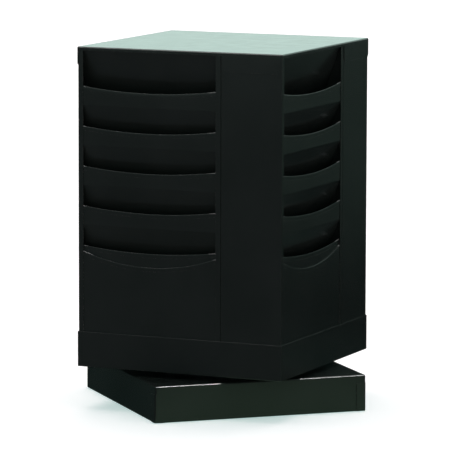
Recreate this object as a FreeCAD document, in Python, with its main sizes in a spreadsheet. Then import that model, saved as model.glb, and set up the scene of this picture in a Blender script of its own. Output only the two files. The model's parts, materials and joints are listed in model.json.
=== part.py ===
import FreeCAD, Part
import math
import os
from types import SimpleNamespace

import Sketcher

# A revolving rack for periodicals: a square sheet-steel tower of four bays, five slanted pockets in each bay,
# that turns on a ball-bearing turntable above a square base.
#
# Frame: millimetres, +Z up, origin on the floor under the middle of the base. The tower's faces lie along X and
# Y, and the base is turned about Z. Each bay is modelled on the south side (-Y) and turned into its place.

DRIVING_SIZES = {
    # tower
    "tower_width": 355.6,
    "module_depth": 105.0,  # the blank panel beside each bay is as wide as a bay is deep
    "stile_width": 9.0,
    "shell_gauge": 0.8,
    "shell_bend": 0.8,  # inside radius
    "seat_gap": 0.25,  # between the tower and the tray or lid that goes round it
    # pockets
    "pocket_count": 5,
    "pocket_pitch": 64.3,
    "pocket_depth": 195.0,  # drop from a mouth to its floor
    "pocket_lip": 31.0,  # upright part under a mouth, which lies on the stiles
    "pocket_floor": 28.0,
    "pocket_flange": 12.0,
    "pocket_scoop": 8.0,
    "pocket_gauge": 0.8,
    "pocket_bend": 0.8,
    "floor_lift": 0.6,  # lowest pocket above the tray's floor
    "mouth_drop": 62.2,  # lid's underside to the highest mouth
    # panel under the lowest mouth
    "panel_drop": 9.3,
    "panel_scoop": 20.7,
    "panel_flange": 12.0,
    "hem_room": 0.8,  # between this panel and the lowest pocket, for the hem of the panel's top edge
    # lid
    "lid_gauge": 1.0,
    "lid_tab": 31.5,
    "lid_lip": 6.0,
    "lid_tab_bevel": 5.0,
    "lid_tab_margin": 1.5,
    "lid_bend": 2.2,  # outside radius: the tower's sharp top edge fills the bend
    # rotating tray
    "tray_gauge": 1.0,
    "tray_height": 57.1,
    "tray_bend": 0.9,
    # base
    "base_width": 357.7,
    "base_height": 58.7,
    "base_gauge": 1.2,
    "base_bend": 1.6,
    "base_flange": 22.0,
    "base_lap": 16.0,  # width of the lap of one side over the next at each corner
    "base_lap_drop": 13.0,  # from the base's top to the top of a lap
    "base_turn": 43.67,
    # feet
    "foot_reach": 1.0,
    "foot_radius": 9.0,
    "foot_stem": 3.5,
    "foot_barb": 5.0,
    "foot_barb_height": 2.5,
    # turntable
    "plate_gauge": 1.2,
    "plate_corner": 8.0,
    "plate_eye": 25.0,
    "ball_count": 24,
    "ball_radius": 3.175,
    "ball_play": 0.2,
    "race_rim": 15.7,  # plate outside the ring of the race, at the middle of each side
    "race_width": 11.0,
    "race_height": 2.2,
    "race_floor": 0.325,  # metal of the ring left under the ball
    "cage_gauge": 1.0,
    # screws that hold the turntable
    "screw_radius": 2.5,
    "screw_head_radius": 5.0,
    "screw_head_height": 2.2,
    "screw_inset": 10.2,  # from the plate's edges to a screw's centre
    "screw_end": 1.0,
    "screw_play": 0.15,
    "nut_flats": 8.0,
    "nut_height": 2.8,
    "nut_room": 2.18,  # between a nut's point and the walls of the hollow in the tower
}

SIDES = ("south", "east", "north", "west")
QUARTER_TURN = 90
FASTENER_COUNT = 4
HEXAGON_RATIO = 3  # a hexagon's width over its flats, squared, is this times its side, squared
FILE_LIMIT = 60
LEAST_CHANGE = 1e-3  # mm3 that a feature has to add or take away
LEAST_LENGTH = 1e-6  # mm by which a straight edge may leave its axis
LEAST_OFFSET = 1e-4  # mm within which two places are the same


class Size:
    """A size as a number together with the spreadsheet expression that gives it."""

    def __init__(self, value, text):
        self.value = value
        self.text = text

    def join(self, other, sign, value):
        """The Size that a sum, difference, product or quotient gives."""
        return Size(value, f"({self.text} {sign} {as_size(other).text})")

    def __add__(self, other):
        return self.join(other, "+", self.value + as_size(other).value)

    def __sub__(self, other):
        return self.join(other, "-", self.value - as_size(other).value)

    def __mul__(self, other):
        return self.join(other, "*", self.value * as_size(other).value)

    def __truediv__(self, other):
        return self.join(other, "/", self.value / as_size(other).value)

    def __neg__(self):
        return Size(-self.value, f"(0 - {self.text})")


def as_size(number):
    """A plain number as a Size."""
    return number if isinstance(number, Size) else Size(float(number), repr(number))


def root(size):
    """The square root of a Size."""
    return Size(math.sqrt(size.value), f"sqrt({size.text})")


ZERO = as_size(0)
document = FreeCAD.newDocument("periodical_rack")
sheet = document.addObject("Spreadsheet::Sheet", "dims")
for row, (alias, number) in enumerate(DRIVING_SIZES.items(), start=1):
    sheet.set(f"A{row}", alias)
    sheet.set(f"B{row}", str(number))
    sheet.setAlias(f"B{row}", alias)
document.recompute()
S = SimpleNamespace(**{alias: Size(float(number), f"dims.{alias}") for alias, number in DRIVING_SIZES.items()})

# --- sizes worked out from the driving ones -----------------------------------------------------------------

tower_half = S.tower_width / 2
inner_half = tower_half - S.module_depth  # half of the hollow in the middle of the tower
bay_left = -tower_half + S.shell_gauge
bay_right = inner_half - S.shell_gauge
sheet_left = bay_left + S.shell_bend  # the sheets in a bay stand clear of the bends in its corners
sheet_right = bay_right - S.shell_bend
mouth_left = -tower_half + S.stile_width
mouth_right = inner_half - S.stile_width
front_inside = -tower_half + S.shell_gauge  # the back of the stiles
rear_inside = -inner_half - S.shell_gauge

tray_half = tower_half + S.seat_gap + S.tray_gauge
lid_half = tower_half + S.seat_gap + S.lid_gauge
base_half = S.base_width / 2
nut_point = S.nut_flats / root(as_size(HEXAGON_RATIO))  # from a nut's middle to its point
screw_place = inner_half - S.nut_room - nut_point
screw_hole = S.screw_radius + S.screw_play
plate_half = screw_place + S.screw_inset
ball_circle = plate_half - S.race_rim - S.race_width / 2

base_top = S.foot_reach + S.base_height
turntable_height = (S.plate_gauge + S.race_floor + S.ball_play + S.ball_radius) * 2
ball_level = base_top + turntable_height / 2
tray_bottom = base_top + turntable_height
tray_floor = tray_bottom + S.tray_gauge
lowest_mouth = tray_floor + S.floor_lift + S.pocket_gauge + S.pocket_depth
highest_mouth = lowest_mouth + S.pocket_pitch * (S.pocket_count - 1)
lid_underside = highest_mouth + S.mouth_drop
lid_top = lid_underside + S.lid_gauge

pocket_drop = S.pocket_depth + S.pocket_gauge  # to the underside of the pocket's floor
pocket_heel = rear_inside - S.pocket_floor


# --- drawing ------------------------------------------------------------------------------------------------


def new_body(label, turn=ZERO, lift=ZERO):
    """A body that is turned about Z and then raised."""
    body = document.addObject("PartDesign::Body", label)
    body.Label = label
    body.AllowCompound = True
    body.Placement = FreeCAD.Placement(
        FreeCAD.Vector(0, 0, lift.value), FreeCAD.Rotation(FreeCAD.Vector(0, 0, 1), turn.value)
    )
    body.setExpression(".Placement.Base.z", lift.text)
    body.setExpression(".Placement.Rotation.Angle", turn.text)
    return body


def new_sketch(body, plane, lift=ZERO):
    """A sketch on one of the body's own planes, moved along that plane's normal by lift."""
    sketch = body.newObject("Sketcher::SketchObject", f"{body.Label}_sketch")
    support = [feature for feature in body.Origin.OriginFeatures if feature.Role == plane]
    sketch.AttachmentSupport = [(support[0], "")]
    sketch.MapMode = "FlatFace"
    sketch.setExpression("AttachmentOffset.Base.z", lift.text)
    return sketch


def pin_point(sketch, edge, end, point):
    """Holds one point of an edge at its two sizes."""
    for kind, size in zip(("DistanceX", "DistanceY"), point):
        index = sketch.addConstraint(Sketcher.Constraint(kind, edge, end, size.value))
        sketch.setExpression(f"Constraints[{index}]", size.text)


def flat(point):
    """A pair of Sizes as a point of a sketch."""
    return FreeCAD.Vector(point[0].value, point[1].value, 0)


def draw_outline(sketch, corners, scoop=None):
    """A closed outline through the corners. With scoop, its first edge is an arc that dips by that Size."""
    count = len(corners)
    for index, corner in enumerate(corners):
        following = corners[(index + 1) % count]
        if index == 0 and scoop is not None:
            chord = following[0] - corner[0]
            radius = (chord * chord / 4 + scoop * scoop) / (scoop * 2)
            middle = (corner[0] + chord / 2, corner[1] - scoop)
            sketch.addGeometry(Part.Arc(flat(corner), flat(middle), flat(following)))
            centre_height = corner[1] - scoop + radius
        else:
            sketch.addGeometry(Part.LineSegment(flat(corner), flat(following)))
    if scoop is None:
        starts = range(count)
    else:
        # an arc is stored counter-clockwise, so a dipping one still starts at its left end
        pin_point(sketch, 0, 1, corners[0])
        pin_point(sketch, 0, 2, corners[1])
        level = sketch.addConstraint(Sketcher.Constraint("DistanceY", 0, 3, centre_height.value))
        sketch.setExpression(f"Constraints[{level}]", centre_height.text)
        starts = range(2, count)
        sketch.addConstraint(Sketcher.Constraint("Coincident", 0, 2, 1, 1))
    for index in starts:
        pin_point(sketch, index, 1, corners[index])
    for index in range(1 if scoop is not None else 0, count):
        sketch.addConstraint(Sketcher.Constraint("Coincident", index, 2, (index + 1) % count, 1))


def draw_circle(sketch, centre, radius):
    """A circle with its centre and radius bound."""
    edge = sketch.addGeometry(Part.Circle(flat(centre), FreeCAD.Vector(0, 0, 1), radius.value))
    pin_point(sketch, edge, 3, centre)
    index = sketch.addConstraint(Sketcher.Constraint("Radius", edge, radius.value))
    sketch.setExpression(f"Constraints[{index}]", radius.text)


def corner_points(half):
    """The four corners of a square about the origin."""
    return [(-half, -half), (half, -half), (half, half), (-half, half)]


def box_points(left, right, low, high):
    """The four corners of a rectangle."""
    return [(left, low), (right, low), (right, high), (left, high)]


# --- features -----------------------------------------------------------------------------------------------


def volume_of(body):
    """The body's volume after a recompute."""
    document.recompute()
    return body.Shape.Volume


def extrude(body, kind, sketch, length, backwards=False):
    """A Pad or Pocket of one Size. Backwards turns a pad against the plane's normal and a pocket along it."""
    before = body.Shape.Volume if body.Tip else 0.0
    feature = body.newObject(f"PartDesign::{kind}", f"{body.Label}_{kind.lower()}")
    feature.Profile = sketch
    feature.setExpression("Length", length.text)
    feature.Reversed = backwards
    sketch.Visibility = False
    change = volume_of(body) - before
    if (kind == "Pad") != (change > 0) or abs(change) < LEAST_CHANGE:
        raise RuntimeError(f"{feature.Label} changes the volume by {change}")
    return feature


def spin(body, kind, sketch):
    """A full Revolution or Groove about the sketch's own upright axis."""
    before = body.Shape.Volume if body.Tip else 0.0
    feature = body.newObject(f"PartDesign::{kind}", f"{body.Label}_{kind.lower()}")
    feature.Profile = sketch
    feature.ReferenceAxis = (sketch, ["V_Axis"])
    feature.Angle = 360
    change = volume_of(body) - before
    if (kind == "Revolution") != (change > 0) or abs(change) < LEAST_CHANGE:
        raise RuntimeError(f"{feature.Label} changes the volume by {change}")
    return feature


def repeat_round(body, features, count):
    """Repeats features round the body's Z axis."""
    before = volume_of(body)
    axis = [feature for feature in body.Origin.OriginFeatures if feature.Role == "Z_Axis"]
    pattern = body.newObject("PartDesign::PolarPattern", f"{body.Label}_pattern")
    pattern.Originals = features
    pattern.Axis = (axis[0], [""])
    pattern.Angle = 360
    pattern.Occurrences = int(as_size(count).value)
    if isinstance(count, Size):
        pattern.setExpression("Occurrences", count.text)
    body.Tip = pattern
    if abs(volume_of(body) - before) < LEAST_CHANGE:
        raise RuntimeError(f"{pattern.Label} repeats nothing")
    return pattern


def along(edge, axis):
    """True if a straight edge lies along an axis, given as 0, 1 or 2."""
    if len(edge.Vertexes) < 2 or not isinstance(edge.Curve, (Part.Line, Part.LineSegment)):
        return False
    start, finish = (vertex.Point for vertex in edge.Vertexes[:2])
    span = finish - start
    return abs(abs(span[axis]) - span.Length) < LEAST_LENGTH


def near(value, size):
    """True if a number is at a Size."""
    return abs(value - size.value) < LEAST_OFFSET


def edges_at(body, axis, places):
    """Names of the tip's straight edges along an axis that pass through one of the places.

    A place is a pair of Sizes for the two other axes, in X, Y, Z order. None matches any value.
    """
    others = [index for index in range(3) if index != axis]
    found = []
    for number, edge in enumerate(body.Tip.Shape.Edges, start=1):
        if not along(edge, axis):
            continue
        middle = edge.CenterOfMass
        for place in places:
            if all(size is None or near(middle[index], size) for index, size in zip(others, place)):
                found.append(f"Edge{number}")
                break
    return found


def round_edges(body, edges, radius):
    """Rounds the named edges of the tip."""
    if not edges:
        raise RuntimeError(f"{body.Label} has no such edges to round")
    base = body.Tip
    fillet = body.newObject("PartDesign::Fillet", f"{body.Label}_fillet")
    fillet.Base = (base, edges)
    fillet.setExpression("Radius", radius.text)
    document.recompute()
    base.Visibility = False
    return fillet


def bolt_holes(body, level, length, place):
    """Four screw holes round the Z axis, cut upwards from level."""
    sketch = new_sketch(body, "XY_Plane", level)
    draw_circle(sketch, (place, place), screw_hole)
    hole = extrude(body, "Pocket", sketch, length, backwards=True)
    repeat_round(body, [hole], FASTENER_COUNT)


# --- base ---------------------------------------------------------------------------------------------------


def make_base_pan():
    """A folded box, open below, with return flanges that carry the feet."""
    body = new_body("base_pan", S.base_turn, S.foot_reach)
    sketch = new_sketch(body, "XY_Plane")
    draw_outline(sketch, corner_points(base_half))
    extrude(body, "Pad", sketch, S.base_height)
    upright = edges_at(body, 2, [(-base_half, -base_half), (base_half, -base_half)])
    upright += edges_at(body, 2, [(base_half, base_half), (-base_half, base_half)])
    rim = edges_at(body, 0, [(-base_half, S.base_height), (base_half, S.base_height)])
    rim += edges_at(body, 1, [(-base_half, S.base_height), (base_half, S.base_height)])
    round_edges(body, upright + rim, S.base_bend + S.base_gauge)

    inside = base_half - S.base_gauge
    sketch = new_sketch(body, "XY_Plane")
    draw_outline(sketch, corner_points(inside - S.base_flange))
    extrude(body, "Pocket", sketch, S.base_height - S.base_gauge, backwards=True)
    sketch = new_sketch(body, "XY_Plane", S.base_gauge)
    draw_outline(sketch, corner_points(inside))
    extrude(body, "Pocket", sketch, S.base_height - S.base_gauge * 2, backwards=True)
    ceiling = S.base_height - S.base_gauge
    bends = edges_at(body, 2, [(-inside, -inside), (inside, -inside), (inside, inside), (-inside, inside)])
    bends += edges_at(body, 0, [(-inside, ceiling), (inside, ceiling)])
    bends += edges_at(body, 1, [(-inside, ceiling), (inside, ceiling)])
    round_edges(body, bends, S.base_bend)

    lap_base_corners(body)
    bolt_holes(body, ceiling, S.base_gauge, screw_place)
    sketch = new_sketch(body, "XY_Plane")
    draw_circle(sketch, (foot_place(), foot_place()), S.foot_stem)
    hole = extrude(body, "Pocket", sketch, S.base_gauge, backwards=True)
    repeat_round(body, [hole], FASTENER_COUNT)


def lap_base_corners(body):
    """At each corner the sheet of one side goes round and lies on the right end of the next side."""
    bend = S.base_bend + S.base_gauge
    front = -base_half
    lapped = front - S.base_gauge
    corners = [
        (base_half - S.base_lap, lapped),
        (base_half, lapped),
        (base_half, front + bend),
        (base_half - bend, front),
        (base_half - S.base_lap, front),
    ]
    sketch = new_sketch(body, "XY_Plane")
    draw_outline(sketch, corners)
    lap = extrude(body, "Pad", sketch, S.base_height - S.base_lap_drop)
    repeat_round(body, [lap], len(SIDES))
    turns = [(base_half, lapped), (-lapped, base_half), (-base_half, -lapped), (lapped, -base_half)]
    round_edges(body, edges_at(body, 2, turns), bend)


def foot_place():
    """Distance of a foot from the middle along each side of the base, in the middle of the return flange."""
    return base_half - S.base_gauge - S.base_flange / 2


def make_base_feet():
    """Four push-in rubber feet: a disc under the flange, a stem through it and a barb above it."""
    body = new_body("base_feet", S.base_turn)
    centre = (foot_place(), foot_place())
    features = []
    levels = (
        (ZERO, S.foot_radius, S.foot_reach),
        (S.foot_reach, S.foot_stem, S.base_gauge),
        (S.foot_reach + S.base_gauge, S.foot_barb, S.foot_barb_height),
    )
    for level, radius, height in levels:
        sketch = new_sketch(body, "XY_Plane", level)
        draw_circle(sketch, centre, radius)
        features.append(extrude(body, "Pad", sketch, height))
    repeat_round(body, features, FASTENER_COUNT)


# --- turntable ----------------------------------------------------------------------------------------------


def make_turntable_plate(label, turn, bottom, race_bottom):
    """A square plate with a raised ring that holds half of the ball race."""
    body = new_body(label, turn)
    sketch = new_sketch(body, "XY_Plane", bottom)
    draw_outline(sketch, corner_points(plate_half))
    draw_circle(sketch, (ZERO, ZERO), S.plate_eye)
    extrude(body, "Pad", sketch, S.plate_gauge)
    places = [(x, y) for x in (-plate_half, plate_half) for y in (-plate_half, plate_half)]
    round_edges(body, edges_at(body, 2, places), S.plate_corner)
    bolt_holes(body, bottom, S.plate_gauge, screw_place)

    ring = new_sketch(body, "XZ_Plane")
    inner = ball_circle - S.race_width / 2
    outer = ball_circle + S.race_width / 2
    draw_outline(ring, box_points(inner, outer, race_bottom, race_bottom + S.race_height))
    spin(body, "Revolution", ring)
    race = new_sketch(body, "XZ_Plane")
    draw_circle(race, (ball_circle, ball_level), S.ball_radius + S.ball_play)
    spin(body, "Groove", race)


def make_ball_cage():
    """A flat ring, half way between the plates, with a hole for each ball."""
    body = new_body("ball_cage")
    bottom = ball_level - S.cage_gauge / 2
    sketch = new_sketch(body, "XY_Plane", bottom)
    draw_circle(sketch, (ZERO, ZERO), ball_circle + S.race_width / 2)
    draw_circle(sketch, (ZERO, ZERO), ball_circle - S.race_width / 2)
    extrude(body, "Pad", sketch, S.cage_gauge)
    sketch = new_sketch(body, "XY_Plane", bottom)
    draw_circle(sketch, (ball_circle, ZERO), S.ball_radius + S.ball_play)
    hole = extrude(body, "Pocket", sketch, S.cage_gauge, backwards=True)
    repeat_round(body, [hole], S.ball_count)


def make_bearing_balls():
    """The ring of balls between the two races."""
    body = new_body("bearing_balls")
    ball = body.newObject("PartDesign::AdditiveSphere", "bearing_ball")
    ball.setExpression("Radius", S.ball_radius.text)
    ball.AttachmentSupport = [([f for f in body.Origin.OriginFeatures if f.Role == "XY_Plane"][0], "")]
    ball.MapMode = "FlatFace"
    ball.setExpression("AttachmentOffset.Base.x", ball_circle.text)
    ball.setExpression("AttachmentOffset.Base.z", ball_level.text)
    document.recompute()
    repeat_round(body, [ball], S.ball_count)


def make_screws(label, turn, seat, heads_up, reach):
    """Four screws. Seat is the level under their heads, and reach the length of a shank."""
    body = new_body(label, turn)
    centre = (screw_place, screw_place)
    sketch = new_sketch(body, "XY_Plane", seat)
    draw_circle(sketch, centre, S.screw_head_radius)
    head = extrude(body, "Pad", sketch, S.screw_head_height, backwards=not heads_up)
    sketch = new_sketch(body, "XY_Plane", seat)
    draw_circle(sketch, centre, S.screw_radius)
    shank = extrude(body, "Pad", sketch, reach, backwards=heads_up)
    repeat_round(body, [head, shank], FASTENER_COUNT)


def make_nuts(label, turn, bottom):
    """Four hexagon nuts on the ends of the screws."""
    body = new_body(label, turn)
    sketch = new_sketch(body, "XY_Plane", bottom)
    half_flats = S.nut_flats / 2
    shoulder = nut_point / 2
    corners = [
        (screw_place + nut_point, screw_place),
        (screw_place + shoulder, screw_place + half_flats),
        (screw_place - shoulder, screw_place + half_flats),
        (screw_place - nut_point, screw_place),
        (screw_place - shoulder, screw_place - half_flats),
        (screw_place + shoulder, screw_place - half_flats),
    ]
    draw_outline(sketch, corners)
    draw_circle(sketch, (screw_place, screw_place), S.screw_radius)
    nut = extrude(body, "Pad", sketch, S.nut_height)
    repeat_round(body, [nut], FASTENER_COUNT)


# --- tower --------------------------------------------------------------------------------------------------


def make_rotor_tray():
    """The tray that the four bays stand in. Its wall is the skirt under them."""
    body = new_body("rotor_tray", lift=tray_bottom)
    sketch = new_sketch(body, "XY_Plane")
    draw_outline(sketch, corner_points(tray_half))
    extrude(body, "Pad", sketch, S.tray_height)
    places = [(x, y) for x in (-tray_half, tray_half) for y in (-tray_half, tray_half)]
    foot = edges_at(body, 0, [(-tray_half, ZERO), (tray_half, ZERO)])
    foot += edges_at(body, 1, [(-tray_half, ZERO), (tray_half, ZERO)])
    round_edges(body, edges_at(body, 2, places) + foot, S.tray_bend)
    sketch = new_sketch(body, "XY_Plane", S.tray_gauge)
    draw_outline(sketch, corner_points(tray_half - S.tray_gauge))
    extrude(body, "Pocket", sketch, S.tray_height, backwards=True)
    bolt_holes(body, ZERO, S.tray_gauge, screw_place)


def make_lid():
    """A square cover with a tab over each blank panel and a short lip over each bay."""
    body = new_body("lid", lift=lid_top)
    sketch = new_sketch(body, "XY_Plane", -S.lid_tab)
    draw_outline(sketch, corner_points(lid_half))
    extrude(body, "Pad", sketch, S.lid_tab)
    places = [(x, y) for x in (-lid_half, lid_half) for y in (-lid_half, lid_half)]
    rim = edges_at(body, 0, [(-lid_half, ZERO), (lid_half, ZERO)])
    rim += edges_at(body, 1, [(-lid_half, ZERO), (lid_half, ZERO)])
    round_edges(body, edges_at(body, 2, places) + rim, S.lid_bend)
    inside = lid_half - S.lid_gauge
    sketch = new_sketch(body, "XY_Plane", -S.lid_tab)
    draw_outline(sketch, corner_points(inside))
    extrude(body, "Pocket", sketch, S.lid_tab - S.lid_gauge, backwards=True)

    # what is cut from the south edge, from the western tab to this side's own tab and past its bevelled corners
    tab_left = inner_half + S.lid_tab_margin
    tab_right = lid_half - S.lid_gauge
    lip_level = -S.lid_lip
    bevel = S.lid_tab_bevel
    low = -S.lid_tab
    under = low - S.lid_gauge
    corners = [
        (-inside, under),
        (tab_left + bevel, under),
        (tab_left + bevel, low),
        (tab_left, low + bevel),
        (tab_left, lip_level),
        (-inside, lip_level),
    ]
    sketch = new_sketch(body, "XZ_Plane", inside)
    draw_outline(sketch, corners)
    lip_cut = extrude(body, "Pocket", sketch, S.lid_gauge * 2, backwards=True)
    sketch = new_sketch(body, "XZ_Plane", inside)
    draw_outline(sketch, [(tab_right - bevel, low), (tab_right - bevel, under), (lid_half, under), (lid_half, low),
                          (tab_right, low + bevel)])
    corner_cut = extrude(body, "Pocket", sketch, S.lid_gauge * 2, backwards=True)
    repeat_round(body, [lip_cut, corner_cut], len(SIDES))


def make_bay_shell(side, turn):
    """One folded sheet: outer wall, rear wall, inner wall and a stile at each side of the mouths."""
    body = new_body(f"bay_shell_{side}", turn, tray_floor)
    gauge = S.shell_gauge
    front = -tower_half
    rear = -inner_half
    left = -tower_half
    right = inner_half
    corners = [
        (mouth_left, front),
        (left, front),
        (left, rear),
        (right, rear),
        (right, front),
        (mouth_right, front),
        (mouth_right, front + gauge),
        (right - gauge, front + gauge),
        (right - gauge, rear - gauge),
        (left + gauge, rear - gauge),
        (left + gauge, front + gauge),
        (mouth_left, front + gauge),
    ]
    sketch = new_sketch(body, "XY_Plane")
    draw_outline(sketch, corners)
    extrude(body, "Pad", sketch, lid_underside - tray_floor)
    outside = [(x, y) for x in (left, right) for y in (front, rear)]
    round_edges(body, edges_at(body, 2, outside), S.shell_bend + gauge)
    within = [(x, y) for x in (left + gauge, right - gauge) for y in (front + gauge, rear - gauge)]
    round_edges(body, edges_at(body, 2, within), S.shell_bend)


def fold_slanted_sheet(body, front, lip=None):
    """A sheet that slants back from its top edge, at the body's own origin level, to a floor and a rear flange.

    Front is where its top edge stands, and lip the height of an upright part above the slant.
    """
    gauge = S.pocket_gauge
    heel = -pocket_drop
    start = -lip if lip else ZERO
    slope = (pocket_heel - front) / (start - heel)
    skin = gauge * root(slope * slope + 1)  # the slanted sheet measured level
    outside = [(pocket_heel, heel), (rear_inside, heel)]
    within = [(rear_inside - gauge, heel + gauge), (front + skin + slope * (start - heel - gauge), heel + gauge)]
    flange = [(rear_inside, heel + S.pocket_flange), (rear_inside - gauge, heel + S.pocket_flange)]
    if lip:
        knee = (front, start)
        inner_knee = (front + gauge, start + (skin - gauge) / slope)
        corners = [(front, ZERO), knee, *outside, *flange, *within, inner_knee, (front + gauge, ZERO)]
        outside.append(knee)
        within.append(inner_knee)
    else:
        corners = [(front, ZERO), *outside, *flange, *within, (front + skin, ZERO)]
    sketch = new_sketch(body, "YZ_Plane", sheet_left)
    draw_outline(sketch, corners)
    extrude(body, "Pad", sketch, sheet_right - sheet_left)
    round_edges(body, edges_at(body, 0, outside), S.pocket_bend + gauge)
    round_edges(body, edges_at(body, 0, within), S.pocket_bend)


def cut_scoop(body, level, dip):
    """Hollows out the top edge between the stiles."""
    over = level + S.pocket_gauge
    corners = [(mouth_left, level), (mouth_right, level), (mouth_right, over), (mouth_left, over)]
    sketch = new_sketch(body, "XZ_Plane", tower_half)
    draw_outline(sketch, corners, scoop=dip)
    extrude(body, "Pocket", sketch, S.module_depth)


def make_back_panel(side, turn):
    """The slanted sheet behind the highest pocket. Its top edge meets the lid."""
    fold_slanted_sheet(new_body(f"back_panel_{side}", turn, lid_underside), front_inside)


def make_pocket_front(side, turn, number):
    """The front and floor of one pocket. Number 1 is the highest, and the lowest stands behind the lower panel."""
    body = new_body(f"pocket_front_{side}_{number}", turn, highest_mouth - S.pocket_pitch * (number - 1))
    lowest = number == int(S.pocket_count.value)
    front = front_inside + S.pocket_gauge + S.hem_room if lowest else front_inside
    fold_slanted_sheet(body, front, S.pocket_lip)
    cut_scoop(body, ZERO, S.pocket_scoop)


def make_lower_panel(side, turn):
    """The upright sheet under the lowest mouth, behind the stiles, with a flange on the tray's floor."""
    body = new_body(f"lower_panel_{side}", turn, tray_floor)
    gauge = S.pocket_gauge
    top = lowest_mouth - tray_floor - S.panel_drop
    corners = [
        (front_inside, ZERO),
        (front_inside + S.panel_flange, ZERO),
        (front_inside + S.panel_flange, gauge),
        (front_inside + gauge, gauge),
        (front_inside + gauge, top),
        (front_inside, top),
    ]
    sketch = new_sketch(body, "YZ_Plane", sheet_left)
    draw_outline(sketch, corners)
    extrude(body, "Pad", sketch, sheet_right - sheet_left)
    round_edges(body, edges_at(body, 0, [corners[0]]), S.pocket_bend + gauge)
    round_edges(body, edges_at(body, 0, [corners[3]]), S.pocket_bend)
    cut_scoop(body, top, S.panel_scoop)


# --- assembly -----------------------------------------------------------------------------------------------


def build_rack():
    """Makes every sub-part."""
    lower_seat = base_top + S.plate_gauge
    upper_seat = tray_bottom - S.plate_gauge
    make_base_pan()
    make_base_feet()
    make_turntable_plate("turntable_lower_plate", S.base_turn, base_top, lower_seat)
    make_turntable_plate("turntable_upper_plate", ZERO, upper_seat, upper_seat - S.race_height)
    make_ball_cage()
    make_bearing_balls()
    grip = S.plate_gauge + S.nut_height + S.screw_end
    make_screws("lower_bearing_screws", S.base_turn, lower_seat, True, grip + S.base_gauge)
    make_nuts("lower_bearing_nuts", S.base_turn, base_top - S.base_gauge - S.nut_height)
    make_screws("upper_bearing_screws", ZERO, upper_seat, False, grip + S.tray_gauge)
    make_nuts("upper_bearing_nuts", ZERO, tray_floor)
    make_rotor_tray()
    make_lid()
    for index, side in enumerate(SIDES):
        turn = as_size(index * QUARTER_TURN)
        make_bay_shell(side, turn)
        make_back_panel(side, turn)
        make_lower_panel(side, turn)
        for number in range(1, int(S.pocket_count.value) + 1):
            make_pocket_front(side, turn, number)


def check_model(parts):
    """Stops if any object failed or a sub-part's shape can't be written."""
    for item in document.Objects:
        if "Invalid" in item.State or "Error" in item.State:
            raise RuntimeError(f"{item.Label} is {item.State}")
    for part in parts:
        if part.Shape.isNull() or not part.Shape.isValid() or part.Shape.Volume <= 0:
            raise RuntimeError(f"{part.Label} has no valid shape")
    if len(parts) > FILE_LIMIT:
        raise RuntimeError(f"{len(parts)} sub-parts are more than {FILE_LIMIT}")


def write_parts(parts):
    """Writes each sub-part under its own name."""
    os.makedirs("parts", exist_ok=True)
    for part in parts:
        part.Shape.exportStep(f"parts/{part.Label}.step")


build_rack()
document.recompute()
sub_parts = [item for item in document.Objects if item.TypeId == "PartDesign::Body"]
check_model(sub_parts)
write_parts(sub_parts)
bounds = [part.Shape.BoundBox for part in sub_parts]
print(f"{len(sub_parts)} sub-parts, {max(box.ZMax for box in bounds):.1f} mm high")
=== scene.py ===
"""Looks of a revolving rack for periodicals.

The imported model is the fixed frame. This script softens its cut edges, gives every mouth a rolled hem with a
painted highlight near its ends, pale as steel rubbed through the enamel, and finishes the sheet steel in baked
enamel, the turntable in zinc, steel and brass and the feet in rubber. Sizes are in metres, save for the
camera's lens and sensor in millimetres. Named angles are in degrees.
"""

from __future__ import annotations

import json
import logging
import math
from dataclasses import dataclass, field
from enum import Enum
from typing import Iterable

import bpy
from mathutils import Matrix, Vector

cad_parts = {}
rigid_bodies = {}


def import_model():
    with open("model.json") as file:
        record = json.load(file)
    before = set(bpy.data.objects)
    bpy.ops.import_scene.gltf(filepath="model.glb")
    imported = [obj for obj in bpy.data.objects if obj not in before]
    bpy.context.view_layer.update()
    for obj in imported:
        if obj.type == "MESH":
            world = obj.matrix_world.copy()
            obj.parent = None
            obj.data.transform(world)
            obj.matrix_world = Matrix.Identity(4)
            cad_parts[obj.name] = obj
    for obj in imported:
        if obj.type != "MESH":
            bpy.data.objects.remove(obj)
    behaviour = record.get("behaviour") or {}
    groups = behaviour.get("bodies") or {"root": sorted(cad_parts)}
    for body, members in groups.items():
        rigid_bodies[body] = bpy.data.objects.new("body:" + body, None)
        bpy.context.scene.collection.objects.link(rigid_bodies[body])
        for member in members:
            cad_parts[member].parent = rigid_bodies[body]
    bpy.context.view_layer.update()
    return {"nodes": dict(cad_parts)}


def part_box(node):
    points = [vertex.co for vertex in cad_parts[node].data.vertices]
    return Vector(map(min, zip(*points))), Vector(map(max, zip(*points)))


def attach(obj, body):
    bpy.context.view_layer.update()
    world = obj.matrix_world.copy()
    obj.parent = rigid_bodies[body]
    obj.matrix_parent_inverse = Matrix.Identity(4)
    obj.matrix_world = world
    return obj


Rgb = tuple[float, float, float]
Point = tuple[float, float, float]

# The mesh attribute that carries the share of the painted highlight near each hem's ends, coloured as rubbed
# steel.
RUBBED_GLINT = "rub"
QUARTER_TURN = 90
SEAM_GAP = 1e-5

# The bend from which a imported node's edge is rounded, and the one from which a new mesh is creased.
ROUNDED_FROM = 50
CREASED_FROM = 40

# Where a Mix node that is set to colours keeps its two inputs and its result.
MIX_FIRST = 6
MIX_SECOND = 7
MIX_RESULT = 2

log = logging.getLogger("rack")


class Side(Enum):
    """The four faces of the tower, as quarter turns from the one that looks along -Y."""

    SOUTH = 0
    EAST = 1
    NORTH = 2
    WEST = 3

    @property
    def label(self) -> str:
        """The word that node names use."""
        return self.name.lower()

    @property
    def turn(self) -> Matrix:
        """The turn about Z from the south face to this one."""
        return Matrix.Rotation(math.radians(QUARTER_TURN * self.value), 4, "Z")


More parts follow.
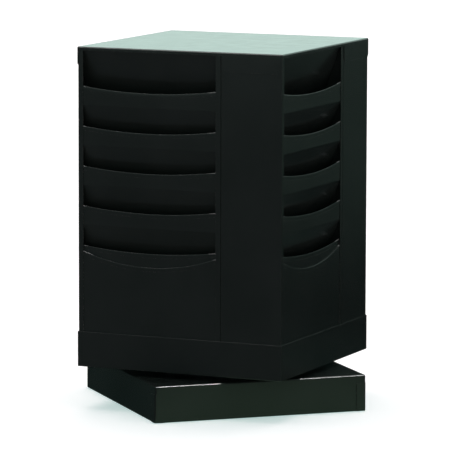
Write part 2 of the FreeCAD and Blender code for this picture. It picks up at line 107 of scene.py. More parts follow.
class Slot(Enum):
    """The record's material slots."""

    ENAMEL = "black_enamel"
    PLATE = "zinc_plate"
    FASTENER = "zinc_fastener"
    BALL = "bearing_steel"
    CAGE = "cage_brass"
    FOOT = "rubber_foot"


# --- finishes -----------------------------------------------------------------------------------------------


@dataclass(frozen=True)
class Pattern:
    """A random pattern: its cells per metre, its finer layers, and start..end of it as low..high."""

    scale: float
    detail: float
    start: float
    end: float
    low: float = 0.0
    high: float = 1.0


@dataclass(frozen=True)
class Relief:
    """A random bump: its cells per metre (or per stretched metre), its finer layers and its height."""

    scale: float
    detail: float
    height: float


class ShaderGraph:
    """The node tree of one material, with short ways to add and join its nodes."""

    bevel_samples = 4
    # How far the rounded normal agrees with the plain one on flat metal, and on an edge.
    flat_agreement = 0.999
    edge_agreement = 0.93
    # How far up a surface looks where dust first settles, and where it settles fully.
    dusty_from = 0.7
    dusty_all = 0.98

    def __init__(self, name: str) -> None:
        """Makes a material that holds a Principled shader and the object's own coordinates.

        Args:
            name: The material's name.
        """
        self.material = bpy.data.materials.new(name)
        self.material.use_nodes = True
        self.tree = self.material.node_tree
        self.tree.nodes.clear()
        self.shader = self.add("ShaderNodeBsdfPrincipled")
        output = self.add("ShaderNodeOutputMaterial")
        self.tree.links.new(self.shader.outputs["BSDF"], output.inputs["Surface"])
        self.place = self.add("ShaderNodeTexCoord").outputs["Object"]

    def add(self, kind: str, **settings: object) -> bpy.types.Node:
        """Adds a node.

        Args:
            kind: The node's type name.
            **settings: Attributes of the node.

        Returns:
            The new node.
        """
        node = self.tree.nodes.new(kind)
        for name, value in settings.items():
            setattr(node, name, value)
        return node

    def feed(self, target: bpy.types.NodeSocket, value: object) -> None:
        """Links a socket, or sets it, whichever the value is for.

        Args:
            target: The input to fill.
            value: Another node's output, a number or a colour.
        """
        if isinstance(value, bpy.types.NodeSocket):
            self.tree.links.new(value, target)
        elif isinstance(value, tuple):
            target.default_value = (*value, 1.0) if len(target.default_value) == 4 else value
        else:
            target.default_value = value

    def set(self, name: str, value: object) -> None:
        """Fills one of the shader's own sockets."""
        self.feed(self.shader.inputs[name], value)

    def stretch(self, scale: Point) -> bpy.types.NodeSocket:
        """Stretches the object's coordinates.

        Args:
            scale: How much, along each axis.

        Returns:
            The stretched coordinates.
        """
        node = self.add("ShaderNodeMapping")
        self.feed(node.inputs["Vector"], self.place)
        self.feed(node.inputs["Scale"], scale)
        return node.outputs["Vector"]

    def noise(
        self, scale: float, detail: float, place: bpy.types.NodeSocket | None = None
    ) -> bpy.types.NodeSocket:
        """A soft random pattern.

        Args:
            scale: Cells per metre.
            detail: How many finer layers it has.
            place: The coordinates that it follows, or None for the object's own.

        Returns:
            The pattern's value, from 0 to 1.
        """
        node = self.add("ShaderNodeTexNoise")
        self.feed(node.inputs["Vector"], place or self.place)
        self.feed(node.inputs["Scale"], scale)
        self.feed(node.inputs["Detail"], detail)
        return node.outputs["Fac"]

    def span(
        self, value: bpy.types.NodeSocket, start: float, end: float, low: float = 0.0, high: float = 1.0
    ) -> bpy.types.NodeSocket:
        """Maps start..end of a value smoothly to low..high.

        Args:
            value: The value to map.
            start: The value that gives low.
            end: The value that gives high.
            low: The first result.
            high: The last result.

        Returns:
            The mapped value.
        """
        node = self.add("ShaderNodeMapRange", interpolation_type="SMOOTHSTEP")
        filling = {"Value": value, "From Min": start, "From Max": end, "To Min": low, "To Max": high}
        for name, number in filling.items():
            self.feed(node.inputs[name], number)
        return node.outputs["Result"]

    def spread(self, pattern: Pattern) -> bpy.types.NodeSocket:
        """A random pattern over its own range."""
        noise = self.noise(pattern.scale, pattern.detail)
        return self.span(noise, pattern.start, pattern.end, pattern.low, pattern.high)

    def combine(self, operation: str, first: object, second: object) -> bpy.types.NodeSocket:
        """Works out a sum, a difference or a product.

        Args:
            operation: The Math node's own word for it.
            first: A number or a socket.
            second: A number or a socket.

        Returns:
            The result.
        """
        node = self.add("ShaderNodeMath", operation=operation)
        self.feed(node.inputs[0], first)
        self.feed(node.inputs[1], second)
        return node.outputs[0]

    def blend(self, share: object, first: object, second: object) -> bpy.types.NodeSocket:
        """Mixes two colours.

        Args:
            share: How much of the second there is.
            first: A colour.
            second: A colour.

        Returns:
            The mixed colour.
        """
        node = self.add("ShaderNodeMix", data_type="RGBA")
        self.feed(node.inputs["Factor"], share)
        self.feed(node.inputs[MIX_FIRST], first)
        self.feed(node.inputs[MIX_SECOND], second)
        return node.outputs[MIX_RESULT]

    def raise_by(
        self, height: bpy.types.NodeSocket, distance: float, under: bpy.types.NodeSocket | None = None
    ) -> bpy.types.NodeSocket:
        """A bump.

        Args:
            height: The pattern, from 0 to 1.
            distance: Its height.
            under: The normal that it is laid on, or None for the surface's own.

        Returns:
            The new normal.
        """
        node = self.add("ShaderNodeBump")
        self.feed(node.inputs["Height"], height)
        self.feed(node.inputs["Distance"], distance)
        if under is not None:
            self.feed(node.inputs["Normal"], under)
        return node.outputs["Normal"]

    def emboss(self, relief: Relief, under: bpy.types.NodeSocket | None = None) -> bpy.types.NodeSocket:
        """A random bump, laid on another normal or on the surface's own."""
        return self.raise_by(self.noise(relief.scale, relief.detail), relief.height, under)

    def edge_mask(self, radius: float) -> bpy.types.NodeSocket:
        """Finds the edges.

        Args:
            radius: How far the mask reaches in from an edge.

        Returns:
            From 0 on flat metal to 1 on an edge.
        """
        rounded = self.add("ShaderNodeBevel", samples=self.bevel_samples)
        self.feed(rounded.inputs["Radius"], radius)
        plain = self.add("ShaderNodeNewGeometry")
        node = self.add("ShaderNodeVectorMath", operation="DOT_PRODUCT")
        self.feed(node.inputs[0], rounded.outputs["Normal"])
        self.feed(node.inputs[1], plain.outputs["Normal"])
        return self.span(node.outputs["Value"], self.flat_agreement, self.edge_agreement)

    def along(self, azimuth: float, start: float, end: float) -> bpy.types.NodeSocket:
        """A level gradient.

        Args:
            azimuth: Where it rises to, in degrees from -Y towards +X.
            start: The distance from the middle where it starts.
            end: The distance where it ends.

        Returns:
            The gradient, from 0 to 1.
        """
        turn = math.radians(azimuth)
        node = self.add("ShaderNodeVectorMath", operation="DOT_PRODUCT")
        self.feed(node.inputs[0], self.place)
        self.feed(node.inputs[1], (math.sin(turn), -math.cos(turn), 0.0))
        return self.span(node.outputs["Value"], start, end)

    def height(self, low: float, high: float) -> bpy.types.NodeSocket:
        """An upright gradient.

        Args:
            low: The level where it starts.
            high: The level where it ends.

        Returns:
            The gradient, from 0 to 1.
        """
        split = self.add("ShaderNodeSeparateXYZ")
        self.feed(split.inputs[0], self.place)
        return self.span(split.outputs["Z"], low, high)

    def away_from(self, point: Point, near: float, far: float) -> bpy.types.NodeSocket:
        """A gradient around a point.

        Args:
            point: The point.
            near: The distance up to which it is 0.
            far: The distance from which it is 1.

        Returns:
            The gradient.
        """
        node = self.add("ShaderNodeVectorMath", operation="DISTANCE")
        self.feed(node.inputs[0], self.place)
        self.feed(node.inputs[1], point)
        return self.span(node.outputs["Value"], near, far)

    def carried(self, name: str) -> bpy.types.NodeSocket:
        """A number that a mesh carries at its points, or 0 where it carries none."""
        return self.add("ShaderNodeAttribute", attribute_name=name).outputs["Fac"]

    def facing_up(self) -> bpy.types.NodeSocket:
        """Finds the surfaces that dust settles on.

        Returns:
            From 0 on upright and hanging surfaces to 1 on level ones that look up.
        """
        split = self.add("ShaderNodeSeparateXYZ")
        self.feed(split.inputs[0], self.add("ShaderNodeNewGeometry").outputs["Normal"])
        return self.span(split.outputs["Z"], self.dusty_from, self.dusty_all)


@dataclass(frozen=True)
class BakedEnamel:
    """Semi-gloss enamel, sprayed and baked on sheet steel."""

    dark: Rgb = (0.0080, 0.0116, 0.0100)
    pale: Rgb = (0.0100, 0.0140, 0.0124)
    primer: Rgb = (0.085, 0.080, 0.072)
    dust: Rgb = (0.11, 0.11, 0.10)
    # The pale steel colour of the painted highlight on the hems' ends.
    steel: Rgb = (0.60, 0.61, 0.60)
    index: float = 1.36
    edge_wear: float = 0.0011
    worn_dulls: float = 0.25
    glint_dulls: float = 0.12
    patches: Pattern = Pattern(scale=9.0, detail=3.0, start=0.3, end=0.7)
    scuffs: Pattern = Pattern(scale=420.0, detail=5.0, start=0.50, end=0.68, high=0.7)
    specks: Pattern = Pattern(scale=900.0, detail=2.0, start=0.68, end=0.76, high=0.10)
    # Frays the border of the painted highlight on the hems' ends.
    glint_fray: Pattern = Pattern(scale=55.0, detail=4.0, start=0.12, end=0.26)
    shine: Pattern = Pattern(scale=34.0, detail=4.0, start=0.3, end=0.72, low=0.195, high=0.212)
    waves: Relief = Relief(scale=8.0, detail=1.0, height=0.00006)
    peel: Relief = Relief(scale=1300.0, detail=1.0, height=0.0000035)

    def painted_glint(self, graph: ShaderGraph) -> bpy.types.NodeSocket:
        """0 on enamel, 1 on the painted highlight at the hems' ends, pale as rubbed steel, with a frayed
        border.
        """
        frayed_glint = graph.combine("MULTIPLY", graph.carried(RUBBED_GLINT), graph.noise(self.glint_fray.scale, self.glint_fray.detail))
        return graph.span(frayed_glint, self.glint_fray.start, self.glint_fray.end)

    def material(self) -> bpy.types.Material:
        """Mixes the enamel: orange peel on faint waves, worn edges, painted highlights at the hems' ends, and
        dust.

        Returns:
            The material.
        """
        graph = ShaderGraph("baked_enamel")
        body = graph.blend(graph.spread(self.patches), self.dark, self.pale)
        worn = graph.combine("MULTIPLY", graph.edge_mask(self.edge_wear), graph.spread(self.scuffs))
        body = graph.blend(worn, body, self.primer)
        dusty = graph.combine("MULTIPLY", graph.facing_up(), graph.spread(self.specks))
        body = graph.blend(dusty, body, self.dust)
        # Paints a highlight in pale steel colour on the hems' crowns near their ends.
        painted_glint = self.painted_glint(graph)
        graph.set("Base Color", graph.blend(painted_glint, body, self.steel))

        glint_part = graph.combine("MULTIPLY", painted_glint, self.glint_dulls)
        worn_part = graph.combine("MULTIPLY", worn, self.worn_dulls)
        dull = graph.combine("ADD", graph.combine("ADD", graph.spread(self.shine), glint_part), worn_part)
        graph.set("Roughness", dull)
        graph.set("IOR", self.index)
        graph.set("Normal", graph.emboss(self.peel, graph.emboss(self.waves)))
        return graph.material


@dataclass(frozen=True)
class ZincPlating:
    """Zinc plating on pressed steel plate, with faint rolling lines and dull patches."""

    name: str = "zinc_plating"
    bright: Rgb = (0.62, 0.63, 0.62)
    dull: Rgb = (0.42, 0.43, 0.42)
    dullness: Pattern = Pattern(scale=45.0, detail=4.0, start=0.35, end=0.7)
    shine: Pattern = Pattern(scale=45.0, detail=4.0, start=0.3, end=0.72, low=0.24, high=0.42)
    grain: Point = (40.0, 900.0, 900.0)
    lines: Relief = Relief(scale=1.0, detail=3.0, height=0.000012)

    def material(self) -> bpy.types.Material:
        """Mixes the plating.

        Returns:
            The material.
        """
        graph = ShaderGraph(self.name)
        graph.set("Base Color", graph.blend(graph.spread(self.dullness), self.bright, self.dull))
        graph.set("Metallic", 1.0)
        graph.set("Roughness", graph.spread(self.shine))
        lines = graph.noise(self.lines.scale, self.lines.detail, graph.stretch(self.grain))
        graph.set("Normal", graph.raise_by(lines, self.lines.height))
        return graph.material


@dataclass(frozen=True)
class PolishedSteel:
    """Hardened bearing steel under a film of grease."""

    steel: Rgb = (0.66, 0.67, 0.68)
    grease: Rgb = (0.30, 0.24, 0.13)
    film: Pattern = Pattern(scale=240.0, detail=3.0, start=0.52, end=0.7, high=0.55)
    shine: Pattern = Pattern(scale=900.0, detail=2.0, start=0.3, end=0.7, low=0.07, high=0.18)
    pits: Relief = Relief(scale=2600.0, detail=1.0, height=0.000001)

    def material(self) -> bpy.types.Material:
        """Mixes the steel.

        Returns:
            The material.
        """
        graph = ShaderGraph("polished_steel")
        graph.set("Base Color", graph.blend(graph.spread(self.film), self.steel, self.grease))
        graph.set("Metallic", 1.0)
        graph.set("Roughness", graph.spread(self.shine))
        graph.set("Normal", graph.emboss(self.pits))
        return graph.material


@dataclass(frozen=True)
class RolledBrass:
    """Brass strip that has dulled towards brown."""

    fresh: Rgb = (0.68, 0.50, 0.23)
    brown: Rgb = (0.30, 0.20, 0.09)
    tarnish: Pattern = Pattern(scale=130.0, detail=5.0, start=0.4, end=0.72, high=0.85)
    shine: Pattern = Pattern(scale=60.0, detail=3.0, start=0.3, end=0.7, low=0.26, high=0.48)
    grain: Point = (1400.0, 90.0, 90.0)
    lines: Relief = Relief(scale=1.0, detail=3.0, height=0.00001)

    def material(self) -> bpy.types.Material:
        """Mixes the brass.

        Returns:
            The material.
        """
        graph = ShaderGraph("rolled_brass")
        graph.set("Base Color", graph.blend(graph.spread(self.tarnish), self.fresh, self.brown))
        graph.set("Metallic", 1.0)
        graph.set("Roughness", graph.spread(self.shine))
        lines = graph.noise(self.lines.scale, self.lines.detail, graph.stretch(self.grain))
        graph.set("Normal", graph.raise_by(lines, self.lines.height))
        return graph.material


@dataclass(frozen=True)
class MouldedRubber:
    """Black rubber, matt from its mould and dusty underneath."""

    black: Rgb = (0.016, 0.016, 0.017)
    grey: Rgb = (0.050, 0.048, 0.045)
    bloom: Pattern = Pattern(scale=300.0, detail=4.0, start=0.45, end=0.75)
    shine: Pattern = Pattern(scale=120.0, detail=2.0, start=0.3, end=0.7, low=0.62, high=0.82)
    skin: Relief = Relief(scale=2200.0, detail=2.0, height=0.00003)

    def material(self) -> bpy.types.Material:
        """Mixes the rubber.

        Returns:
            The material.
        """
        graph = ShaderGraph("moulded_rubber")
        graph.set("Base Color", graph.blend(graph.spread(self.bloom), self.black, self.grey))
        graph.set("Roughness", graph.spread(self.shine))
        graph.set("Normal", graph.emboss(self.skin))
        return graph.material


class FinishShop:
    """Makes each finish once and puts it on nodes and pieces."""

    def __init__(self) -> None:
        """Mixes the six finishes."""
        self.finishes = {
            Slot.ENAMEL: BakedEnamel().material(),
            Slot.PLATE: ZincPlating().material(),
            Slot.FASTENER: ZincPlating(
                name="bright_zinc",
                bright=(0.72, 0.74, 0.76),
                dull=(0.60, 0.60, 0.52),
                shine=Pattern(scale=45.0, detail=4.0, start=0.3, end=0.72, low=0.16, high=0.30),
                grain=(300.0, 300.0, 1500.0),
            ).material(),
            Slot.BALL: PolishedSteel().material(),
            Slot.CAGE: RolledBrass().material(),
            Slot.FOOT: MouldedRubber().material(),
        }

    def coat(self, piece: bpy.types.Object, slot: Slot) -> None:
        """Gives a node or a new piece its finish.

        Args:
            piece: The object to coat.
            slot: The record's slot that it takes its finish from.
        """
        if not piece.material_slots:
            piece.data.materials.append(self.finishes[slot])
        for place in piece.material_slots:
            place.material = self.finishes[slot]


# --- metalwork ----------------------------------------------------------------------------------------------


def join_seams(node: bpy.types.Object) -> None:
    """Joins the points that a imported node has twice, at its seams and its poles."""
    node.modifiers.new("joined_seams", "WELD").merge_threshold = SEAM_GAP


def soften_edges(node: bpy.types.Object, width: float, segments: int = 2) -> None:
    """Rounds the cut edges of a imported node, which keeps its own mesh.

    Args:
        node: The node.
        width: How far the rounding goes in from an edge.
        segments: Faces across the rounding.
    """
    join_seams(node)
    edges = node.modifiers.new("soft_edges", "BEVEL")
    edges.width = width
    edges.segments = segments
    edges.limit_method = "ANGLE"
    edges.angle_limit = math.radians(ROUNDED_FROM)
    edges.loop_slide = False
    shading = node.modifiers.new("even_shading", "WEIGHTED_NORMAL")
    shading.keep_sharp = False


def mesh_piece(
    name: str, points: Iterable[Vector], faces: Iterable[tuple[int, ...]], turn: Matrix
) -> bpy.types.Object:
    """A smooth-shaded mesh object.

    Args:
        name: The piece's name.
        points: Its vertices before the turn.
        faces: Its faces.
        turn: How it is turned into place.

    Returns:
        The new object, at the origin.
    """
    mesh = bpy.data.meshes.new(name)
    mesh.from_pydata([turn @ point for point in points], [], list(faces))
    mesh.validate()
    mesh.shade_smooth()
    mesh.set_sharp_from_angle(angle=math.radians(CREASED_FROM))
    piece = bpy.data.objects.new(name, mesh)
    bpy.context.scene.collection.objects.link(piece)
    return piece


@dataclass
class RolledHem:
    """The folded-over top edge of an upright sheet, along a scooped mouth.

    It wraps the sheet and stands a little proud of its face. Its crown carries a painted highlight near its two
    ends, coloured as rubbed steel, as far in as glint_left_reach and glint_right_reach. The slope of the scoop
    is measured between two places, a probe to either side.
    """

    left: float
    right: float
    level: float
    front: float
    dip: float
    glint_left_reach: float
    glint_right_reach: float
    radius: float = 0.00084
    proud: float = 0.00008
    fold: float = 0.0065
    nose_share: float = 0.35
    glint_spread: float = 2.0
    probe: float = 1e-5
    steps: int = 64
    bends: int = 10

    def outline(self) -> list[tuple[float, float]]:
        """Draws the hem's section: up the face, over the edge and down behind it, with a chamfered lower end.

        Returns:
            Depths behind the sheet's face and heights over its edge.
        """
        behind = self.radius * 2 - self.proud
        centre = self.radius - self.proud
        crown = self.proud - self.radius
        over = []
        for step in range(self.bends + 1):
            angle = math.pi * (1 - step / self.bends)
            over.append((centre + self.radius * math.cos(angle), crown + self.radius * math.sin(angle)))
        nose = self.radius * self.nose_share
        return [(-self.proud, -self.fold), *over, (behind, nose - self.fold), (behind - nose, -self.fold)]

    def drop_at(self, across: float) -> float:
        """Follows the arc of the scoop.

        Args:
            across: A place across the mouth.

        Returns:
            How far the mouth is below its ends there.
        """
        half = (self.right - self.left) / 2
        radius = (half * half + self.dip * self.dip) / (self.dip * 2)
        away = min(abs(across - (self.left + self.right) / 2), half)
        return self.dip - radius + math.sqrt(radius * radius - away * away)

    def glint_shares(self) -> list[float]:
        """Works out the share of painted highlight at each point: only the crown, and most of all its two ends.

        Returns:
            A share for each point, in the mesh's own order.
        """
        angles = [math.pi * bend / self.bends for bend in range(self.bends + 1)]
        crown = [0.0, *(min(1.0, math.sin(angle) * self.glint_spread) for angle in angles), 0.0, 0.0]
        glints = []
        for step in range(self.steps + 1):
            across = (self.right - self.left) * step / self.steps
            back = self.right - self.left - across
            near = max(0.0, 1 - across / self.glint_left_reach, 1 - back / self.glint_right_reach)
            glints += [near * share for share in crown]
        return glints

    def build(self, name: str, turn: Matrix) -> bpy.types.Object:
        """Sweeps the section along the mouth.

        Args:
            name: The piece's name.
            turn: The turn from the south face to the hem's own.

        Returns:
            The hem.
        """
        outline = self.outline()
        count = len(outline)
        points: list[Vector] = []
        for step in range(self.steps + 1):
            across = self.left + (self.right - self.left) * step / self.steps
            drop = self.drop_at(across)
            ahead = min(across + self.probe, self.right)
            back = max(across - self.probe, self.left)
            rise = (self.drop_at(back) - self.drop_at(ahead)) / (ahead - back)
            edge = Vector((across, self.front, self.level - drop))
            upward = Vector((-rise, 0, 1)).normalized()
            points += [edge + Vector((0, depth, 0)) + upward * height for depth, height in outline]
        faces = []
        for step in range(self.steps):
            ring = step * count
            after = ring + count
            for index in range(count):
                following = (index + 1) % count
                faces.append((ring + index, after + index, after + following, ring + following))
        faces.append(tuple(range(count)))
        faces.append(tuple(reversed(range(self.steps * count, (self.steps + 1) * count))))
        piece = mesh_piece(name, points, faces, turn)
        # Stores the painted highlight's share on each point.
        piece.data.attributes.new(RUBBED_GLINT, "FLOAT", "POINT").data.foreach_set("value", self.glint_shares())
        return piece


@dataclass
class Bay:
    """One face's bay: a folded shell, five pockets, a slanted sheet behind them and a panel under them."""

    side: Side
    shop: FinishShop
    stile: float = 0.009
    mouth_scoop: float = 0.008
    # How far in the painted highlight at a mouth's hem reaches, from its left end and from its right one.
    mouth_glint: tuple[float, float] = (0.010, 0.022)
    panel_scoop: float = 0.0207
    # How far in the painted highlight at the panel's hem reaches, from its left end and from its right one.
    panel_glint: tuple[float, float] = (0.026, 0.008)
    pocket_count: int = 5
    cut_edge: float = 0.00025

    def nodes(self) -> list[str]:
        """Names the bay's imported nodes.

        Returns:
            The names.
        """
        side = self.side.label
        pockets = [f"pocket_front_{side}_{number}" for number in range(1, self.pocket_count + 1)]
        return [f"bay_shell_{side}", f"back_panel_{side}", f"lower_panel_{side}", *pockets]

    def hem(self, name: str, like: str, dip: float, rub: tuple[float, float]) -> bpy.types.Object:
        """Rolls the top edge of one sheet.

        Args:
            name: The hem's name.
            like: The south face's node that carries such a hem.
            dip: How far the mouth dips in its middle.
            rub: How far in the painted highlight reaches from its left end and from its right one.

        Returns:
            The hem, riding on the tower.
        """
        shell_low, shell_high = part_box("bay_shell_south")
        low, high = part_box(like)
        left = shell_low.x + self.stile
        right = shell_high.x - self.stile
        piece = RolledHem(left, right, high.z, low.y, dip, *rub).build(name, self.side.turn)
        self.shop.coat(piece, Slot.ENAMEL)
        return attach(piece, "tower")

    def dress(self, nodes: dict[str, bpy.types.Object]) -> list[bpy.types.Object]:
        """Finishes the bay's sheets and rolls its hems.

        Args:
            nodes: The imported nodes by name.

        Returns:
            The sheets, then the hems.
        """
        pieces = [nodes[name] for name in self.nodes()]
        for sheet in pieces:
            soften_edges(sheet, self.cut_edge)
            self.shop.coat(sheet, Slot.ENAMEL)
        side = self.side.label
        for number in range(1, self.pocket_count + 1):
            like = f"pocket_front_south_{number}"
            pieces.append(self.hem(f"pocket_hem_{side}_{number}", like, self.mouth_scoop, self.mouth_glint))
        pieces.append(self.hem(f"panel_hem_{side}", "lower_panel_south", self.panel_scoop, self.panel_glint))
        return pieces


@dataclass
class TrayAndLid:
    """The tray that the bays stand in and the lid that covers them."""

    shop: FinishShop
    cut_edge: float = 0.0003

    def dress(self, nodes: dict[str, bpy.types.Object]) -> list[bpy.types.Object]:
        """Finishes both.

        Args:
            nodes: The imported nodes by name.

        Returns:
            Both.
        """
        pieces = [nodes["rotor_tray"], nodes["lid"]]
        for piece in pieces:
            soften_edges(piece, self.cut_edge)
            self.shop.coat(piece, Slot.ENAMEL)
        return pieces


@dataclass
class Base:
    """The folded base and its rubber feet."""

    shop: FinishShop
    cut_edge: float = 0.00055
    foot_edge: float = 0.0005
    foot_segments: int = 3

    def dress(self, nodes: dict[str, bpy.types.Object]) -> list[bpy.types.Object]:
        """Finishes both.

        Args:
            nodes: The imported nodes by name.

        Returns:
            Both.
        """
        pan, feet = nodes["base_pan"], nodes["base_feet"]
        soften_edges(pan, self.cut_edge)
        self.shop.coat(pan, Slot.ENAMEL)
        soften_edges(feet, self.foot_edge, self.foot_segments)
        self.shop.coat(feet, Slot.FOOT)
        return [pan, feet]


@dataclass
class Turntable:
    """Two pressed plates with a ring of caged balls between them, and their screws and nuts."""

    shop: FinishShop
    plate_edge: float = 0.0002
    screw_edge: float = 0.0005
    slots: dict[str, Slot] = field(default_factory=lambda: {
        "turntable_lower_plate": Slot.PLATE,
        "turntable_upper_plate": Slot.PLATE,
        "ball_cage": Slot.CAGE,
        "bearing_balls": Slot.BALL,
        "lower_bearing_screws": Slot.FASTENER,
        "upper_bearing_screws": Slot.FASTENER,
        "lower_bearing_nuts": Slot.FASTENER,
        "upper_bearing_nuts": Slot.FASTENER,
    })

    def dress(self, nodes: dict[str, bpy.types.Object]) -> list[bpy.types.Object]:
        """Finishes every part of the bearing.

        Args:
            nodes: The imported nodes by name.

        Returns:
            The parts.
        """
        for name, slot in self.slots.items():
            if slot is Slot.BALL:
                join_seams(nodes[name])
            else:
                soften_edges(nodes[name], self.screw_edge if slot is Slot.FASTENER else self.plate_edge)
            self.shop.coat(nodes[name], slot)
        return [nodes[name] for name in self.slots]


# --- studio -------------------------------------------------------------------------------------------------


def heading(azimuth: float, elevation: float) -> Vector:
    """The direction out from the rack at an azimuth, from -Y towards +X, and an elevation."""
    turn, tilt = math.radians(azimuth), math.radians(elevation)
    return Vector((math.sin(turn) * math.cos(tilt), -math.cos(turn) * math.cos(tilt), math.sin(tilt)))


@dataclass(frozen=True)
class DisplayCamera:
    """A long lens, a little above the rack and to its right."""

    azimuth: float = 24.13
    elevation: float = 7.49
    roll: float = 0.14
    distance: float = 6.3982
    aside: float = 0.00087
    height: float = 0.28799
    lens: float = 313.796
    sensor: float = 36.0
    reach: float = 100.0

    def build(self) -> bpy.types.Object:
        """Puts the camera in place and makes it the scene's own.

        Returns:
            The camera.
        """
        turn, roll = math.radians(self.azimuth), math.radians(self.roll)
        back = heading(self.azimuth, self.elevation)
        right = Vector((math.cos(turn), math.sin(turn), 0))
        up = back.cross(right)
        rolled_right = right * math.cos(roll) + up * math.sin(roll)
        rolled_up = up * math.cos(roll) - right * math.sin(roll)
        data = bpy.data.cameras.new("display_camera")
        data.lens = self.lens
        data.sensor_width = self.sensor
        data.clip_end = self.reach
        camera = bpy.data.objects.new("display_camera", data)
        bpy.context.scene.collection.objects.link(camera)
        target = right * self.aside + Vector((0, 0, self.height))
        place = Matrix((rolled_right, rolled_up, back)).transposed().to_4x4()
        place.translation = target + back * self.distance
        camera.matrix_world = place
        bpy.context.scene.camera = camera
        return camera


@dataclass
class Surround:
    """A round glowing screen that only reflections see, so its colours are painted reflections that light
    nothing.

    It is dark up to the lid, so that upright faces stay deep, and pale above. A pale strip of its floor runs
    out from the base's front, which mirrors it.
    """

    radius: float = 1.25
    lid_level: float = 0.583
    top: float = 1.5
    clearance: float = 0.0005
    steps: int = 64
    # Painted reflections: dark up to the lid so that upright faces look shaded, a pale strip, and pale above
    # the lid.
    low: Rgb = (0.003, 0.008, 0.009)
    high: Rgb = (0.050, 0.085, 0.072)
    climb: tuple[float, float] = (-0.04, 0.30)
    near: Rgb = (0.018, 0.036, 0.032)
    near_reach: tuple[float, float] = (0.60, 1.0)
    front: Rgb = (0.070, 0.100, 0.110)
    front_reach: tuple[float, float] = (0.2, 0.65)
    front_azimuth: float = -24.0
    strip: Rgb = (0.40, 0.68, 0.46)
    strip_azimuth: float = 63.0
    strip_left: tuple[float, float] = (-0.27, -0.235)
    strip_right: tuple[float, float] = (0.12, 0.155)
    base_azimuth: float = 43.67
    strip_start: tuple[float, float] = (0.165, 0.190)
    strip_end: tuple[float, float] = (0.52, 0.70)
    rim: float = 0.004
    upper: Rgb = (1.08, 1.40, 1.29)
    middle: Point = (0.0, 0.0, 0.0)
    paint: Rgb = (0.0, 0.0, 0.0)

    def build(self) -> bpy.types.Object:
        """Makes the screen and its floor.

        Returns:
            The screen.
        """
        points = []
        for height in (self.clearance, self.lid_level, self.top):
            for step in range(self.steps):
                angle = math.tau * step / self.steps
                points.append(Vector((self.radius * math.cos(angle), self.radius * math.sin(angle), height)))
        faces = [tuple(range(self.steps))]
        for ring in (0, self.steps):
            for step in range(self.steps):
                following = (step + 1) % self.steps
                upper = ring + self.steps
                faces.append((ring + step, ring + following, upper + following, upper + step))
        screen = mesh_piece("surround", points, faces, Matrix.Identity(4))
        screen.data.materials.append(self.glow())
        screen.visible_camera = False
        screen.visible_diffuse = False
        screen.visible_shadow = False
        return screen

    def glow(self) -> bpy.types.Material:
        """Mixes the painted reflection that the screen shows.

        Returns:
            The material.
        """
        graph = ShaderGraph("surround_painted_reflection")
        shade = graph.blend(graph.height(*self.climb), self.low, self.high)
        shade = graph.blend(graph.away_from(self.middle, *self.near_reach), self.near, shade)
        shade = graph.blend(graph.along(self.front_azimuth, *self.front_reach), shade, self.front)
        shade = graph.blend(self.strip_mask(graph), shade, self.strip)
        shade = graph.blend(graph.height(self.lid_level - self.rim, self.lid_level), shade, self.upper)
        graph.set("Base Color", self.paint)
        graph.set("Specular IOR Level", 0.0)
        # The glow is a painted reflection, seen only by glossy rays.
        graph.set("Emission Color", shade)
        graph.set("Emission Strength", 1.0)
        return graph.material

    def strip_mask(self, graph: ShaderGraph) -> bpy.types.NodeSocket:
        """Where the pale strip lies.

        Args:
            graph: The screen's own material.

        Returns:
            From 0 elsewhere to 1 on the strip.
        """
        across = self.strip_azimuth + QUARTER_TURN
        inside = graph.along(across, *self.strip_left)
        inside = graph.combine("SUBTRACT", inside, graph.along(across, *self.strip_right))
        begun = graph.along(self.base_azimuth, *self.strip_start)
        begun = graph.combine("SUBTRACT", begun, graph.along(self.base_azimuth, *self.strip_end))
        return graph.combine("MULTIPLY", inside, begun)


@dataclass(frozen=True)
class Sun:
    """A distant soft lamp: its strength, the way it hangs from the rack and the angle that it fills."""

    name: str
    strength: float
    azimuth: float
    elevation: float
    spread: float
    highlights_only: bool = True

    def hang(self) -> bpy.types.Object:
        """Hangs the lamp.

        Returns:
            The lamp.
        """
        lamp = bpy.data.lights.new(self.name, "SUN")
        lamp.energy = self.strength
        lamp.angle = math.radians(self.spread)
        item = bpy.data.objects.new(self.name, lamp)
        bpy.context.scene.collection.objects.link(item)
        item.rotation_euler = heading(self.azimuth, self.elevation).to_track_quat("Z", "Y").to_euler()
        item.visible_diffuse = not self.highlights_only
        return item


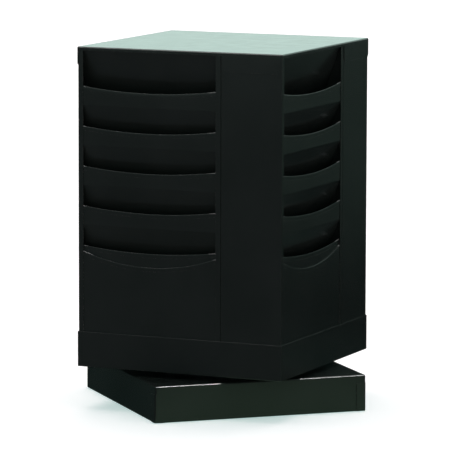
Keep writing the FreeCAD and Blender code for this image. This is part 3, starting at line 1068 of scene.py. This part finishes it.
@dataclass
class Studio:
    """A pale floor in an even white room, a broad soft key and two lamps that only give highlights."""

    floor_size: float = 60.0
    white: Rgb = (1.0, 1.0, 1.0)
    fill: Rgb = (0.53, 0.55, 0.56)
    floor_paint: Rgb = (0.88, 0.68, 0.71)
    floor_glow: Rgb = (0.34, 0.495, 0.47)
    key: Sun = Sun("key", strength=1.50, azimuth=204.0, elevation=76.0, spread=50.0, highlights_only=False)
    right_strip: Sun = Sun("right_strip", strength=6.5, azimuth=72.4, elevation=55.0, spread=3.0)
    left_strip: Sun = Sun("left_strip", strength=1.6, azimuth=-44.0, elevation=46.0, spread=22.0)

    def build(self) -> list[bpy.types.Object]:
        """Sets up the room, and returns its floor and its lamps."""
        self.paint_world()
        return [self.lay_floor(), self.key.hang(), self.right_strip.hang(), self.left_strip.hang()]

    def paint_world(self) -> None:
        """White to the camera and in reflections, and an even fill for everything else."""
        world = bpy.data.worlds.new("studio")
        bpy.context.scene.world = world
        world.use_nodes = True
        tree = world.node_tree
        tree.nodes.clear()
        mix = tree.nodes.new("ShaderNodeMix")
        mix.data_type = "RGBA"
        mix.inputs[MIX_FIRST].default_value = (*self.fill, 1.0)
        mix.inputs[MIX_SECOND].default_value = (*self.white, 1.0)
        tree.links.new(self.seen_rays(tree), mix.inputs["Factor"])
        background = tree.nodes.new("ShaderNodeBackground")
        tree.links.new(mix.outputs[MIX_RESULT], background.inputs["Color"])
        output = tree.nodes.new("ShaderNodeOutputWorld")
        tree.links.new(background.outputs[0], output.inputs["Surface"])

    def seen_rays(self, tree: bpy.types.NodeTree) -> bpy.types.NodeSocket:
        """Tells the rays that show things from those that only light them.

        Args:
            tree: The node tree to add to.

        Returns:
            1 for camera, glossy and transmission rays, and 0 for the rest.
        """
        path = tree.nodes.new("ShaderNodeLightPath")
        mask = path.outputs["Is Camera Ray"]
        for name in ("Is Glossy Ray", "Is Transmission Ray"):
            either = tree.nodes.new("ShaderNodeMath")
            either.operation = "MAXIMUM"
            tree.links.new(mask, either.inputs[0])
            tree.links.new(path.outputs[name], either.inputs[1])
            mask = either.outputs[0]
        return mask

    def lay_floor(self) -> bpy.types.Object:
        """Lays a pale floor that shows white away from the rack and keeps its shadow.

        Returns:
            The floor.
        """
        half = self.floor_size / 2
        signs = ((-1, -1), (1, -1), (1, 1), (-1, 1))
        corners = [Vector((half * across, half * along, 0)) for across, along in signs]
        floor = mesh_piece("floor", corners, [(0, 1, 2, 3)], Matrix.Identity(4))
        material = bpy.data.materials.new("pale_floor")
        material.use_nodes = True
        tree = material.node_tree
        tree.nodes.clear()
        paint = tree.nodes.new("ShaderNodeBsdfDiffuse")
        paint.inputs["Color"].default_value = (*self.floor_paint, 1.0)
        glow = tree.nodes.new("ShaderNodeEmission")
        glow.inputs["Color"].default_value = (*self.floor_glow, 1.0)
        tree.links.new(self.seen_rays(tree), glow.inputs["Strength"])
        both = tree.nodes.new("ShaderNodeAddShader")
        tree.links.new(paint.outputs[0], both.inputs[0])
        tree.links.new(glow.outputs[0], both.inputs[1])
        output = tree.nodes.new("ShaderNodeOutputMaterial")
        tree.links.new(both.outputs[0], output.inputs["Surface"])
        floor.data.materials.append(material)
        return floor


# --- assembly -----------------------------------------------------------------------------------------------


def clear_bench() -> None:
    """Removes what a new file holds."""
    for item in list(bpy.data.objects):
        bpy.data.objects.remove(item)


def main() -> None:
    """Builds the looks in order: base, turntable, bays, tray and lid, studio, screen, camera."""
    logging.basicConfig(level=logging.INFO, format="%(message)s")
    clear_bench()
    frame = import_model()
    nodes = frame["nodes"]
    bpy.context.scene.view_settings.view_transform = "Standard"
    shop = FinishShop()
    bays = [Bay(side, shop) for side in Side]
    assemblies: list[Base | Turntable | Bay | TrayAndLid] = [
        Base(shop), Turntable(shop), *bays, TrayAndLid(shop)
    ]
    for assembly in assemblies:
        for piece in assembly.dress(nodes):
            log.info("%s: %s", piece.name, piece.material_slots[0].name)
    for item in (*Studio().build(), Surround().build(), DisplayCamera().build()):
        log.info("studio: %s", item.name)


if __name__ == "__main__":
    main()
